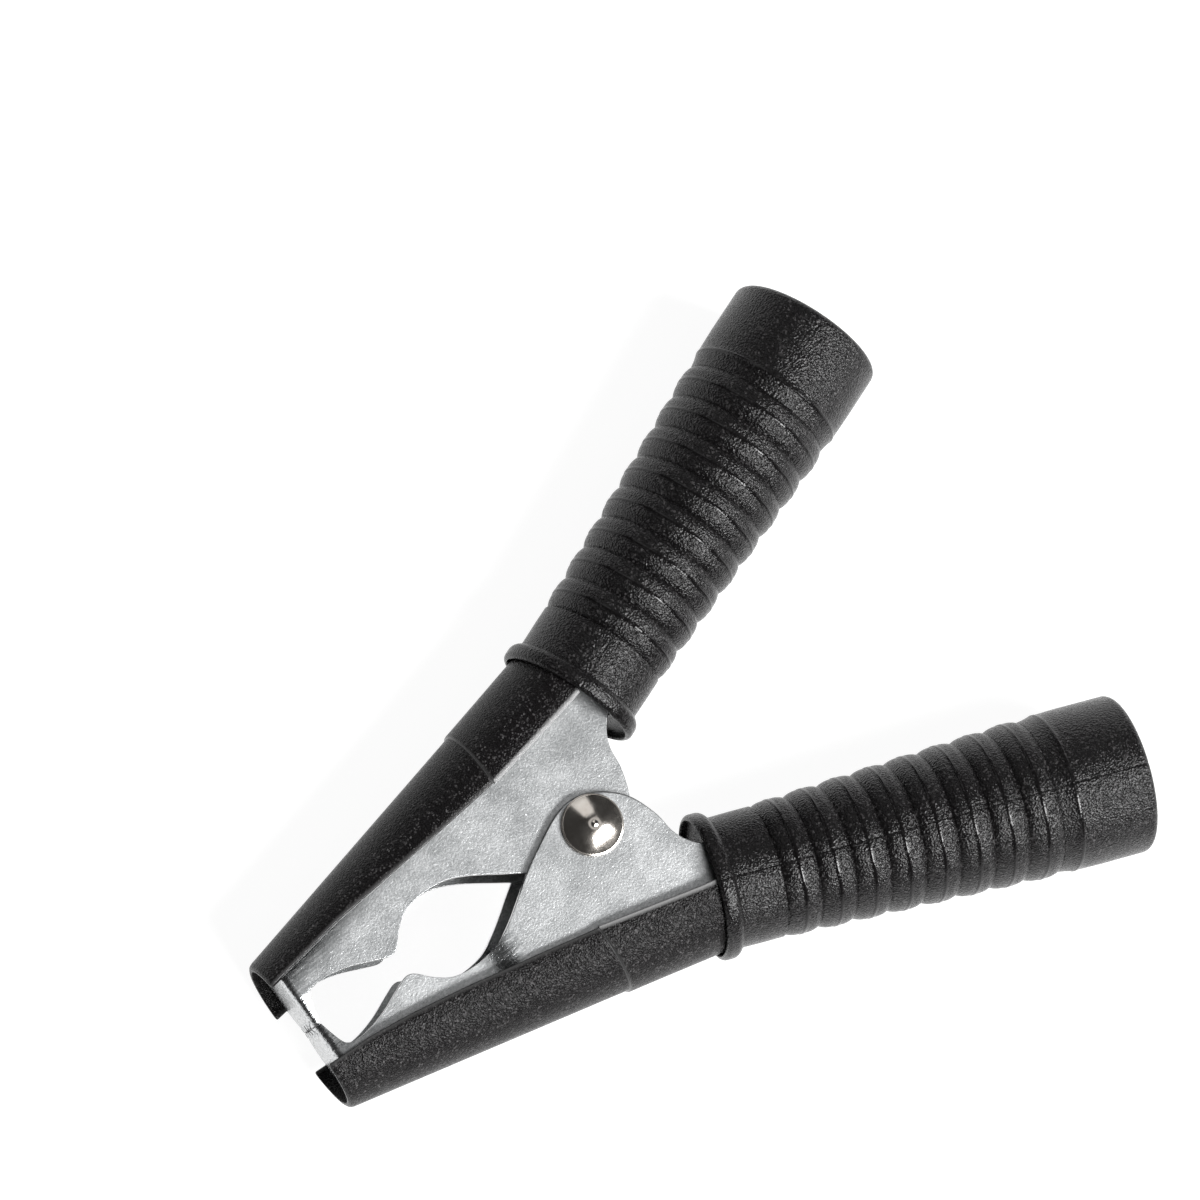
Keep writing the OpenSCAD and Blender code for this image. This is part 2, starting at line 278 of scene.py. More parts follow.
class NodeSheet:
    """A material's node tree with short calls to add nodes and join them."""

    def __init__(self, name: str) -> None:
        """Starts a material of that name with an empty tree and its output.

        Args:
            name: name of the material.
        """
        self.material = bpy.data.materials.new(name)
        self.material.use_nodes = True
        self.tree = self.material.node_tree
        self.tree.nodes.clear()
        self.output = self.tree.nodes.new("ShaderNodeOutputMaterial")

    def add(self, kind: str, inputs: dict | None = None, **settings: object) -> bpy.types.Node:
        """Adds a node.

        Args:
            kind: its type without the leading ShaderNode.
            inputs: values or sockets by input name or number.
            settings: properties to set on the node.

        Returns:
            The new node.
        """
        node = self.tree.nodes.new(f"ShaderNode{kind}")
        for key, value in settings.items():
            setattr(node, key, value)
        for key, value in (inputs or {}).items():
            if isinstance(value, bpy.types.NodeSocket):
                self.tree.links.new(value, node.inputs[key])
            else:
                node.inputs[key].default_value = value
        return node

    def place(self) -> bpy.types.NodeSocket:
        """The object's own coordinates, in metres."""
        return self.add("TexCoord").outputs["Object"]

    def painted(self, key: str) -> bpy.types.NodeSocket:
        """A value painted on the mesh's points."""
        return self.add("Attribute", attribute_name=key).outputs["Fac"]

    def noise(self, scale: float, detail: float = 2.0, rough: float = 0.5) -> bpy.types.NodeSocket:
        """Cloudy noise with this many waves a metre."""
        sizes = {"Vector": self.place(), "Scale": scale, "Detail": detail, "Roughness": rough}
        return self.add("TexNoise", sizes).outputs["Fac"]

    def cells(self, scale: float, output: str = "Distance") -> bpy.types.NodeSocket:
        """Voronoi cells with this many a metre: the distance to the nearest middle, or another output."""
        return self.add("TexVoronoi", {"Vector": self.place(), "Scale": scale}).outputs[output]

    def sums(self, operation: str, a: object, b: object) -> bpy.types.NodeSocket:
        """One arithmetic step on two values or sockets."""
        return self.add("Math", {0: a, 1: b}, operation=operation).outputs[0]

    def span(
        self, value: bpy.types.NodeSocket, old: tuple[float, float], new: tuple[float, float]
    ) -> bpy.types.NodeSocket:
        """Moves a value from one range to another and stops it at the ends."""
        sizes = {"Value": value, "From Min": old[0], "From Max": old[1], "To Min": new[0], "To Max": new[1]}
        return self.add("MapRange", sizes, clamp=True).outputs["Result"]

    def tint(self, factor: bpy.types.NodeSocket, first: Colour, second: Colour) -> bpy.types.NodeSocket:
        """A colour between two, by factor."""
        mix = self.add("Mix", {"Factor": factor}, data_type="RGBA")
        mix.inputs[6].default_value = (*first, 1.0)
        mix.inputs[7].default_value = (*second, 1.0)
        return mix.outputs[2]

    def relief(
        self, height: bpy.types.NodeSocket, distance: float, strength: float = 1.0
    ) -> bpy.types.NodeSocket:
        """Bends the light as if the surface had this height, in metres of distance."""
        sizes = {"Height": height, "Distance": distance, "Strength": strength}
        return self.add("Bump", sizes).outputs["Normal"]

    def shade(self, **inputs: object) -> bpy.types.Material:
        """Adds the shader with the given inputs, _ standing for a space, and returns the material."""
        named = {key.replace("_", " "): value for key, value in inputs.items()}
        shader = self.add("BsdfPrincipled", named)
        self.tree.links.new(shader.outputs[0], self.output.inputs[0])
        return self.material


@dataclass(frozen=True)
class MouldedPlastic:
    """Moulded plastic with a pitted, spark-eroded grain and painted glints, polished or painted with a pale
    highlight where those values are 1.
    """

    name: str
    dark: Colour
    light: Colour
    roughness: float
    grain: float
    depth: float
    gloss: float

    def material(self) -> bpy.types.Material:
        """Builds the grain from noise and cells with painted glints, faded where it is polished and painted
        paler where a highlight is painted.
        """
        sheet = NodeSheet(self.name)
        polish = sheet.painted("polish")
        rubbed = sheet.painted("rubbed")
        coarse = sheet.noise(self.grain, 2.0, 0.6)
        fine = sheet.cells(self.grain)
        grain = sheet.sums("ADD", coarse, sheet.sums("MULTIPLY", fine, 0.8))
        # Painted glints: a share of the cells turns the base colour paler, standing in for sparkle of the
        # grain in the light.
        glint = sheet.span(sheet.cells(self.grain * 1.1, "Color"), (0.72, 1.0), (0.0, 1.0))
        kept = sheet.sums("SUBTRACT", 1.0, sheet.sums("MULTIPLY", polish, 0.95))
        height = sheet.sums("MULTIPLY", grain, kept)
        cloud = sheet.noise(90.0, 3.0, 0.6)
        rough = sheet.span(grain, (0.5, 1.0), (self.roughness + 0.1, self.roughness - 0.14))
        worn = sheet.sums("MULTIPLY", sheet.sums("SUBTRACT", cloud, 0.5), 0.1)
        matt = sheet.sums("MULTIPLY", sheet.sums("ADD", rough, worn), kept)
        roughness = sheet.sums("ADD", matt, sheet.sums("MULTIPLY", polish, 0.09))
        glints = sheet.sums("MULTIPLY", glint, kept)
        shade = sheet.sums("MULTIPLY", glints, sheet.span(cloud, (0.3, 0.7), (0.5, 1.0)))
        plain = sheet.tint(shade, self.dark, self.light)
        # Painted highlight: the colour turns pale grey where the highlight value is painted, along edges that
        # would catch the light.
        mix = sheet.add("Mix", {"Factor": sheet.sums("MULTIPLY", rubbed, 0.8)}, data_type="RGBA")
        sheet.tree.links.new(plain, mix.inputs[6])
        mix.inputs[7].default_value = (0.5, 0.5, 0.5, 1.0)
        return sheet.shade(
            Base_Color=mix.outputs[2],
            Roughness=roughness,
            Normal=sheet.relief(height, self.depth),
            IOR=self.gloss,
        )


@dataclass(frozen=True)
class PlatedSheet:
    """Zinc-plated sheet steel: a fine crystalline bloom, with faint drawing marks where drawn is 1."""

    name: str
    dull: Colour
    bright: Colour
    roughness: float
    grain: float

    def material(self) -> bpy.types.Material:
        """Builds the bloom from cells and noise, and the marks from noise stretched along the clamp."""
        sheet = NodeSheet(self.name)
        drawn = sheet.painted("drawn")
        bloom = sheet.noise(self.grain, 3.0, 0.7)
        patches = sheet.noise(170.0, 4.0, 0.65)
        facets = sheet.cells(self.grain * 0.9, "Color")
        sparkle = sheet.span(facets, (0.50, 0.85), (0.0, 1.0))
        turned = sheet.add("Mapping", {"Vector": sheet.place(), "Scale": (350.0, 2300.0, 2300.0)})
        mark_noise = sheet.add("TexNoise", {"Vector": turned.outputs[0], "Scale": 1.0, "Detail": 3.0})
        marks = mark_noise.outputs["Fac"]
        height = sheet.sums("ADD", bloom, sheet.sums("MULTIPLY", sheet.sums("MULTIPLY", marks, drawn), 2.5))
        height = sheet.sums("ADD", height, sheet.sums("MULTIPLY", sparkle, 0.1))
        pressed = sheet.painted("pressed")
        mixed = sheet.sums("ADD", sheet.sums("MULTIPLY", bloom, 0.6), sheet.sums("MULTIPLY", patches, 0.4))
        mixed = sheet.sums("ADD", mixed, sheet.sums("MULTIPLY", sparkle, 0.08))
        streaks = sheet.sums("MULTIPLY", sheet.sums("SUBTRACT", marks, 0.55), 3.4)
        mixed = sheet.sums("ADD", mixed, sheet.sums("MULTIPLY", streaks, drawn))
        # Painted highlight: paler colour along the cheeks' working edges.
        mixed = sheet.sums("ADD", mixed, sheet.sums("MULTIPLY", sheet.painted("edge"), 0.4))
        # Painted highlight on the nose's front plate, and painted shade in its tooth marks.
        mixed = sheet.sums("ADD", mixed, sheet.sums("MULTIPLY", pressed, 0.4))
        rough_range = (self.roughness - 0.01, self.roughness + 0.04)
        rough = sheet.sums("ADD", sheet.span(patches, (0.35, 0.65), rough_range),
                           sheet.sums("MULTIPLY", sparkle, -0.05))
        rough = sheet.sums("SUBTRACT", rough, sheet.sums("MULTIPLY", drawn, 0.16))
        return sheet.shade(
            Base_Color=sheet.tint(sheet.span(mixed, (0.40, 0.66), (0.0, 1.0)), self.dull, self.bright),
            Metallic=1.0,
            Roughness=rough,
            Normal=sheet.relief(height, 0.00005, 0.8),
        )


@dataclass(frozen=True)
class BrightMetal:
    """Smooth bright metal with hair scratches: nickel plate, spring wire or a sheared edge."""

    name: str
    dark: Colour
    light: Colour
    roughness: float
    scratches: float

    def material(self) -> bpy.types.Material:
        """Builds faint scratches and clouds over a smooth metal."""
        sheet = NodeSheet(self.name)
        cloud = sheet.noise(450.0, 3.0, 0.6)
        fine = sheet.noise(4200.0, 2.0, 0.6)
        rough = sheet.sums("ADD", sheet.span(cloud, (0.3, 0.7), (self.roughness, self.roughness + 0.07)),
                           sheet.sums("MULTIPLY", fine, 0.06))
        return sheet.shade(
            Base_Color=sheet.tint(sheet.span(cloud, (0.3, 0.7), (0.0, 1.0)), self.dark, self.light),
            Metallic=1.0,
            Roughness=rough,
            Normal=sheet.relief(fine, self.scratches),
        )


@dataclass(frozen=True)
class PaintedBoard:
    """The matt white board that the clamp lies on."""

    name: str
    colour: Colour
    glow: float

    def material(self) -> bpy.types.Material:
        """Builds a matt white with a hardly visible tooth, lit a little from behind."""
        sheet = NodeSheet(self.name)
        cloud = sheet.noise(30.0, 2.0)
        lighter = tuple(min(1.0, c * 1.02) for c in self.colour)
        return sheet.shade(
            Base_Color=sheet.tint(cloud, self.colour, lighter),
            Roughness=0.9,
            Normal=sheet.relief(sheet.noise(900.0), 0.00001),
            Emission_Color=(1.0, 1.0, 1.0, 1.0),
            Emission_Strength=self.glow,
        )


GRIP_PLASTIC = MouldedPlastic(
    "black_grip_plastic", (0.004, 0.0036, 0.0038), (0.07, 0.067, 0.068), 0.29, 2800.0, 0.00014, 1.33
)
COVER_PLASTIC = MouldedPlastic(
    "black_cover_plastic", (0.004, 0.0035, 0.0037), (0.11, 0.106, 0.107), 0.38, 3200.0, 0.00012, 1.24
)
ZINC_SHEET = PlatedSheet("zinc_plated_sheet", (0.36, 0.37, 0.375), (0.60, 0.61, 0.615), 0.35, 3000.0)
SHEARED_EDGE = BrightMetal("sheared_steel_edge", (0.62, 0.62, 0.62), (0.85, 0.85, 0.85), 0.22, 0.00002)
NICKEL = BrightMetal("polished_nickel", (0.60, 0.55, 0.50), (0.72, 0.68, 0.63), 0.10, 0.000006)
SPRING_WIRE = BrightMetal("oiled_spring_wire", (0.18, 0.17, 0.16), (0.30, 0.29, 0.28), 0.24, 0.00001)
PLAIN_STEEL = BrightMetal("turned_steel", (0.42, 0.42, 0.42), (0.55, 0.55, 0.55), 0.26, 0.00001)
STUDIO_BOARD = PaintedBoard("studio_board", (0.20, 0.20, 0.20), 0.93)


# ---------------------------------------------------------------- shared lines of the clamp


@dataclass(frozen=True)
class HandleLine:
    """The axis of a grip, and points given along it and out from it."""

    angle: float = 20.5
    offset: float = 14.0

    def at(self, along: Array, out: Array, aside: Array) -> Array:
        """Points at a distance along the grip's axis, out from it and along Z: turned by the grip's angle."""
        c, s = math.cos(math.radians(self.angle)), math.sin(math.radians(self.angle))
        v = np.asarray(out, float) + self.offset
        parts = np.broadcast_arrays(along * c - v * s, along * s + v * c, aside)
        return np.stack(parts, axis=-1)


@dataclass(frozen=True)
class CoverLine:
    """The axis of a tip cover, from its mouth to the middle of the grip's front face."""

    mouth_x: float = 57.0
    mouth_y: float = 4.9
    root_x: float = 10.55
    root_y: float = 18.9
    mouth_r: float = 8.9
    root_r: float = 10.65

    @property
    def slope(self) -> float:
        """Rise of the axis for each millimetre of X."""
        return (self.root_y - self.mouth_y) / (self.root_x + self.mouth_x)

    @property
    def length(self) -> float:
        """Length of the axis from the mouth to the root."""
        return math.hypot(self.root_x + self.mouth_x, self.root_y - self.mouth_y)

    def height(self, x: Array) -> Array:
        """Y of the axis at X: a straight line."""
        return self.mouth_y + self.slope * (np.asarray(x, float) + self.mouth_x)

    def radius(self, x: Array) -> Array:
        """Outer radius of the plain cone round the axis at X: straight from mouth to root."""
        return self.mouth_r + (self.root_r - self.mouth_r) * (np.asarray(x, float) + self.mouth_x) / (
            self.root_x + self.mouth_x)


HANDLE = HandleLine()
COVER_LINE = CoverLine()


# ---------------------------------------------------------------- the steel jaws


@dataclass
class JawStamping:
    """One sheet-steel jaw: cheeks with pivot ears, a round back, a folded nose and a tail with its crimp."""

    half: Half
    ear_half: float
    cheek_half: float = 7.35
    sheet: float = 1.2
    gap_to_cover: float = 1.2
    joggle: tuple[float, float] = (-21.5, -26.5)
    nose_x: float = 55.2
    nose_tip_half: float = 5.9
    nose_round: float = 1.4
    spine_top: float = 5.2
    bite: float = 0.12
    nose_side: float = 53.75
    teeth: int = 5
    tooth_depth: float = 1.3
    tooth_half: float = 0.5
    tooth_pitch: float = 1.7
    ear_end: float = 18.1
    tail: tuple[float, float] = (14.0, 58.0)
    tail_r: float = 8.8
    strip_half: float = 4.0
    neck: float = 5.0
    crimp_r: float = 3.6
    crimp_len: float = 9.0
    station: float = 0.55

    def working_edge(self) -> Array:
        """Edge of the cheek from the grip round the ear, the post notch and the tooth to the bite."""
        rear = [HANDLE.at(s, -6.6, 0.0)[:2] for s in (self.ear_end, 16.5)]
        ear = [(11.2, 10.7), (10.1, 8.2), (9.6, 4.5), (7.9, 0), (5.3, -2.9), (2.3, -4.7), (-0.7, -5.3),
               (-3.7, -4.8), (-6.3, -3.7), (-9, -2.3), (-13.1, 0)]
        notch = [(-20, 4.6), (-24.3, 6.6), (-28.5, 7.1), (-32.3, 6.5), (-35, 4.7)]
        tooth = [(-37, 2.6), (-38.5, 2), (-41, 2.9), (-44.6, 4.4), (-48, 5.3), (-50.6, 5.5)]
        nose = [(-51.8, 5.25), (-52.6, 4.7), (-53.2, 2.9), (-self.nose_side, self.bite)]
        curve = smooth_curve(np.array([*rear, *ear, *notch, *tooth, *nose]), 12)
        return even_spacing(curve, self.station)

    def half_width(self, x: Array, y: Array) -> Array:
        """Outer half width of the cheeks: the ears' width, joggled in, then drawn in to the bite."""
        joggled = smoothstep(self.joggle[0], self.joggle[1], x)
        width = self.ear_half + (self.cheek_half - self.ear_half) * joggled
        low = np.clip((5.2 - y) / (5.2 - self.bite), 0.0, 1.0)
        return width - (self.cheek_half - self.nose_tip_half) * low * smoothstep(-49.0, -52.0, x)

    def section(self, x_edge: Array, y_edge: Array) -> Array:
        """Rows of points from the near working edge over the back to the far one.

        Each row goes up the flat cheek to the height of the cover's axis, then over a half circle round that
        axis. The width is the lesser of the cheek's and the circle's, softly joined. Behind the pivot the
        rows lean back with the grip.

        Args:
            x_edge: X of the working edge at each row.
            y_edge: its Y.

        Returns:
            Grid of points, rows along the jaw and columns across it.
        """
        cheek = np.linspace(0.0, 1.0, 26) ** 1.3
        arc = np.radians(np.linspace(0.0, 90.0, 20)[1:])
        lean = 0.374 * smoothstep(-8.0, 12.0, x_edge)[:, None]
        start_x, start_y = x_edge[:, None], y_edge[:, None]
        x = np.repeat(start_x, len(cheek) + len(arc), axis=1)
        for _ in range(3):
            axis = COVER_LINE.height(x)
            radius = COVER_LINE.radius(x) - self.gap_to_cover
            flat_y = start_y + (axis[:, :26] - start_y) * cheek
            round_y = axis[:, 26:] + 1.02 * radius[:, 26:] * np.sin(arc)
            y = np.hstack([flat_y, round_y])
            x = start_x - lean * (y - start_y)
        reach = np.hstack([radius[:, :26], radius[:, 26:] * np.cos(arc)])
        z = soft_min(self.half_width(x, y), reach, 0.9)
        z[:, -1] = 0.0
        near = np.stack([x, y, z], axis=2)
        return np.hstack([near, near[:, -2::-1] * np.array([1.0, 1.0, -1.0])])

    def beak(self, last: Array) -> Array:
        """Folds the last row round the nose's corner and closes it with the front plate.

        The corner is a quarter circle: the row shrinks by its radius and moves forward by it. The plate is
        made of copies of that row drawn in to a spine on the middle plane, bulged slightly forward: a point
        of the straight sides keeps its height, and the round top closes on the spine's upper end. The teeth
        are sunk into it near the bite.

        Args:
            last: the row of points at the nose's side.

        Returns:
            Grid of further rows.
        """
        around = last * np.array([0.0, 1.0, 1.0])
        height = np.clip((around[:, 1:2] - self.bite) / (around[:, 1].max() - self.bite), 0.0, 1.0)
        inward = np.hstack([np.zeros_like(height), -height, -np.sign(around[:, 2:]) * (1.0 - height**3)])
        front = self.nose_x - self.nose_round
        steps = np.linspace(self.nose_side, front, 2)[1:]
        sides = np.array([around + np.array([-x, 0.0, 0.0]) for x in steps])
        turn = np.radians(np.linspace(0.0, 90.0, 9)[1:])[:, None, None]
        corners = around + self.nose_round * (1 - np.cos(turn)) * inward
        corners[:, :, 0] = -(front + self.nose_round * np.sin(turn[:, :, 0]))
        rim = corners[-1]
        spine = rim * np.array([1.0, 1.0, 0.0])
        spine[:, 1] = np.minimum(rim[:, 1], self.spine_top)
        draw = np.linspace(1.0, 0.0, 72)[1:, None, None]
        plate = spine + (rim - spine) * draw
        bulged = 1 - (plate[:, :, 2] / self.cheek_half) ** 2
        plate[:, :, 0] = -self.nose_x - 0.12 * bulged * (1 - draw[:, :, 0] ** 4)
        return self.cut_teeth(np.vstack([sides, corners, plate]))

    def tooth_marks(self, rows: Array) -> Array:
        """Depth share of the teeth: narrow Vs that fan out from the bite and end a little above it."""
        ordinal = np.arange(self.teeth) - (self.teeth - 1) / 2
        above = rows[:, :, 1] - self.bite
        fanned = rows[:, :, 2] / (1.0 + 0.4 * np.clip(above, 0.0, 2.0))
        nearest = np.min(np.abs(fanned[:, :, None] - self.tooth_pitch * ordinal), axis=2)
        notch = np.clip(1.5 - 1.5 * nearest / self.tooth_half, 0.0, 1.0)
        fade = np.clip(2.5 * (1.0 - above / self.tooth_depth), 0.0, 1.0)
        return notch * fade * (rows[:, :, 0] < -self.nose_side)

    def cut_teeth(self, rows: Array) -> Array:
        """Presses the teeth into the plate, notches the bite with them and hollows its middle slightly."""
        marks = self.tooth_marks(rows)
        low = np.clip(1.0 - (rows[:, :, 1] - self.bite) / self.tooth_depth, 0.0, 1.0)
        hollow = 0.12 * bump(rows[:, :, 2], 0.0, 1.6) * (rows[:, :, 0] < -self.nose_side)
        rows[:, :, 1] += (0.25 * marks + hollow) * low
        rows[:, :, 0] += 0.5 * marks
        return rows

    def tail_grid(self) -> Grid:
        """Channel, neck and open crimp inside the grip: arcs whose middle, radius and spread change."""
        ends = np.array([self.tail[1], self.tail[1] + 1.2, self.tail[1] + self.neck - 1.0,
                         self.tail[1] + self.neck + 0.8, self.tail[1] + self.neck + self.crimp_len])
        along = np.concatenate([
            np.linspace(self.tail[0], ends[0], 40)[:-1],
            np.linspace(ends[0], ends[3], 26)[:-1],
            np.linspace(ends[3], ends[4], 12),
        ])
        strip = math.degrees(math.asin(self.strip_half / self.tail_r))
        crimp_outer = self.crimp_r + self.sheet
        crimp_y = self.tail_r - 2 * self.sheet - self.crimp_r + 0.6
        narrow = smoothstep(ends[0], ends[1], along)
        curl = smoothstep(ends[2], ends[3], along)
        spread = 90.0 + (strip - 90.0) * narrow
        spread = (spread + (112.0 - spread) * curl)[:, None]
        radius = (self.tail_r + (crimp_outer - self.tail_r) * curl)[:, None]
        middle = (crimp_y * curl)[:, None]
        angle = np.radians(spread * np.linspace(1.0, -1.0, 41)[None, :])
        points = HANDLE.at(along[:, None], middle + radius * np.cos(angle), radius * np.sin(angle))
        return Grid(points[::-1])

    def make(self, frame: ClampFrame) -> bpy.types.Object:
        """Builds the jaw as one bent sheet, and thickens it inwards.

        Args:
            frame: where the clamp stands.

        Returns:
            The finished jaw.
        """
        outline = self.working_edge()
        body = self.section(outline[:, 0], outline[:, 1])
        rows = np.vstack([body, self.beak(body[-1])])
        bend = bump(rows[:, :, 0], sum(self.joggle) / 2, 2.7) * (self.ear_half > self.cheek_half)
        inside_cheek = smoothstep(0.15, 0.6, self.cheek_half - np.abs(rows[:, :, 2]))
        shoulder = inside_cheek * smoothstep(-36.0, -48.0, rows[:, :, 0])
        drawn = np.clip(0.8 * bend + shoulder, 0.0, 1.0)
        # Painted highlight and painted shade: the nose's front plate is painted paler where it would shine,
        # and its tooth marks darker where shade falls in them.
        pressed = smoothstep(-self.nose_side - 0.3, -self.nose_side - 0.9, rows[:, :, 0])
        pressed = pressed - 2.5 * self.tooth_marks(rows)
        # Painted highlight: the working edges of the cheeks are painted paler, standing in for light caught
        # by a rounded edge.
        edge = np.zeros(rows.shape[:2])
        edge[: len(body), [0, -1]] = 1.0
        grids = [Grid(rows, paint={"drawn": drawn, "pressed": pressed, "edge": edge}), self.tail_grid()]
        piece = frame.build(f"{self.half.value}_jaw_stamping", grids, self.half, crease=50.0)
        thicken(piece, self.sheet * MM)
        finish_piece(piece, self.half.node("jaw"), self.half.body, "zinc_plated_steel",
                     ZINC_SHEET.material(), SHEARED_EDGE.material())
        return piece


def thicken(piece: bpy.types.Object, wall: float) -> None:
    """Gives a sheet its wall on the inside and evens the shading.

    Args:
        piece: object whose mesh is the outer face.
        wall: thickness, in metres.
    """
    solid = piece.modifiers.new("wall", "SOLIDIFY")
    solid.thickness = wall
    solid.offset = -1.0
    solid.use_even_offset = False
    solid.material_offset_rim = 1
    even = piece.modifiers.new("even_shading", "WEIGHTED_NORMAL")
    even.keep_sharp = True


# ---------------------------------------------------------------- covers and grips


@dataclass
class TipCover:
    """Half-round moulded shield over a jaw, with a rounded mouth, a step and a thicker rim behind it."""

    half: Half
    near_rim: tuple[float, ...]
    far_rim: tuple[float, ...]
    rim_at: tuple[float, ...] = (-57.0, -49.0, -42.0, -33.0, -21.0, -9.5, 8.0)
    wall: float = 1.05
    step: float = 0.35
    step_x: float = -9.3
    round_edge: float = 0.32
    mouth_round: float = 0.9

    def loop(self) -> tuple[Array, Array, Array]:
        """The section's outline: over the outside, round a rim, back inside and round the other rim.

        Returns:
            For each point the share of the half span, the offset beyond it along the rim and the depth
            below the outer surface.
        """
        count = 56
        c = self.round_edge
        span = np.linspace(-1.0, 1.0, count)
        q = np.radians(np.linspace(0.0, 90.0, 6)[1:-1])
        ones = np.ones(len(q))
        share = np.concatenate([span, ones, ones, span[::-1], -ones, -ones])
        flat = 0 * span
        beyond = np.concatenate([flat, c * np.sin(q), c * np.cos(q), flat, -c * np.sin(q), -c * np.cos(q)])
        top = c * (1 - np.cos(q))
        bottom = self.wall - c * (1 - np.sin(q))
        depth = np.concatenate([flat, top, bottom, flat + self.wall, self.wall - top, self.wall - bottom])
        return share, beyond, depth

    def stations(self) -> tuple[Array, Array, Array]:
        """Rows along the axis, from the closed mouth to the closed root.

        Returns:
            X of each row on the axis, the share of the wall left there and the inset of its outline.
        """
        q = np.radians(np.linspace(90.0, 0.0, 6))
        c = self.round_edge
        start, end = -COVER_LINE.mouth_x, COVER_LINE.root_x
        near_step = self.step_x + np.array([-0.5, -0.22, -0.14, -0.07, 0.0, 0.07, 0.16, 0.4])
        mouth = np.linspace(start + c, start + 2.4, 9)[1:]
        middle = np.concatenate([np.linspace(start + 3.2, near_step[0] - 0.6, 46), near_step,
                                 np.linspace(near_step[-1] + 0.7, end - c, 20)])
        front = start + c * (1 - np.sin(q))
        back = end - c * (1 - np.cos(q[::-1]))
        x = np.concatenate([[start], front, mouth, middle, back, [end]])
        inset = c * (1 - np.cos(q))
        left = 1 - 2 * inset / self.wall
        rest = np.zeros(len(mouth) + len(middle))
        return (x, np.concatenate([[0.0], left, rest + 1, left[::-1], [0.0]]),
                np.concatenate([[c], inset, rest, inset[::-1], [c]]))

    def surface(self) -> Array:
        """Lofts the outline along the axis.

        A point at share a of the half span stands at angle a times the rim's angle from the top of the
        section, at the cone's radius less its depth. Behind the step the radius grows, and near the mouth
        it rounds in by a quarter circle. The rim's angle is the arc cosine of its height over the radius.
        """
        share, beyond, depth = self.loop()
        x, left, inset = self.stations()
        x, left, inset = x[:, None], left[:, None], inset[:, None]
        r = self.mouth_round
        to_mouth = np.clip(1 - (x + COVER_LINE.mouth_x) / r, 0.0, 1.0)
        rounding = 0.55 * r * (1 - np.sqrt(1 - to_mouth**2))
        step = self.step * smoothstep(self.step_x - 0.1, self.step_x + 0.1, x)
        outer = COVER_LINE.radius(x) + step - rounding * (1 - depth / self.wall)
        radius = COVER_LINE.radius(x)
        widen = 0.6 * step / radius
        near = np.arccos(np.clip(np.interp(x, self.rim_at, self.near_rim) / radius, -0.9, 0.9)) + widen
        far = np.arccos(np.clip(np.interp(x, self.rim_at, self.far_rim) / radius, -0.9, 0.9)) + widen
        reach = np.where(share > 0, near, far) - (self.round_edge + inset) / radius
        angle = share * reach + beyond / radius * left
        wall = depth * (1 + step / self.wall)
        shrunk = (self.wall + step) / 2 + (wall - (self.wall + step) / 2) * left
        r_here = outer - shrunk
        tilt = COVER_LINE.slope
        y = COVER_LINE.height(x) + r_here * np.cos(angle)
        behind = smoothstep(-6.0, 8.0, x) * 0.17
        x_here = x - (tilt * 0.0 + behind) * r_here * np.cos(angle)
        return np.stack([x_here, y + tilt * (x_here - x), r_here * np.sin(angle)], axis=2)

    def make(self, frame: ClampFrame) -> bpy.types.Object:
        """Builds the cover, with its rim and step edge polished, and a painted highlight along the rim's lip
        and on the step edge.
        """
        points = self.surface()
        share, _, depth = self.loop()
        x = self.stations()[0][:, None]
        rim = (np.abs(share) >= 0.999) * 1.0
        edge = bump(x, self.step_x, 0.14)
        behind = smoothstep(self.step_x - 0.3, self.step_x + 0.3, x)
        polish = np.clip(np.broadcast_to(0.8 * rim, points.shape[:2]) + edge * (depth == 0), 0.0, 1.0)
        by_skin = (depth < 0.6 * self.round_edge) | (depth > self.wall - 0.6 * self.round_edge)
        lip = (np.abs(share) >= 0.999) * by_skin
        # Painted highlight: the rim's lip, most of all behind the step, and the step's edge are painted paler
        # where they would catch the light.
        rubbed = lip * (0.1 + 0.5 * behind) + 0.2 * edge * (depth == 0)
        grid = Grid(points, wrap_columns=True, paint={"polish": polish, "rubbed": rubbed})
        piece = frame.build(f"{self.half.value}_tip_cover", [grid], self.half, crease=40.0)
        plastic = COVER_PLASTIC.material()
        finish_piece(piece, self.half.node("cover"), self.half.body, "cover_plastic", plastic)
        return piece


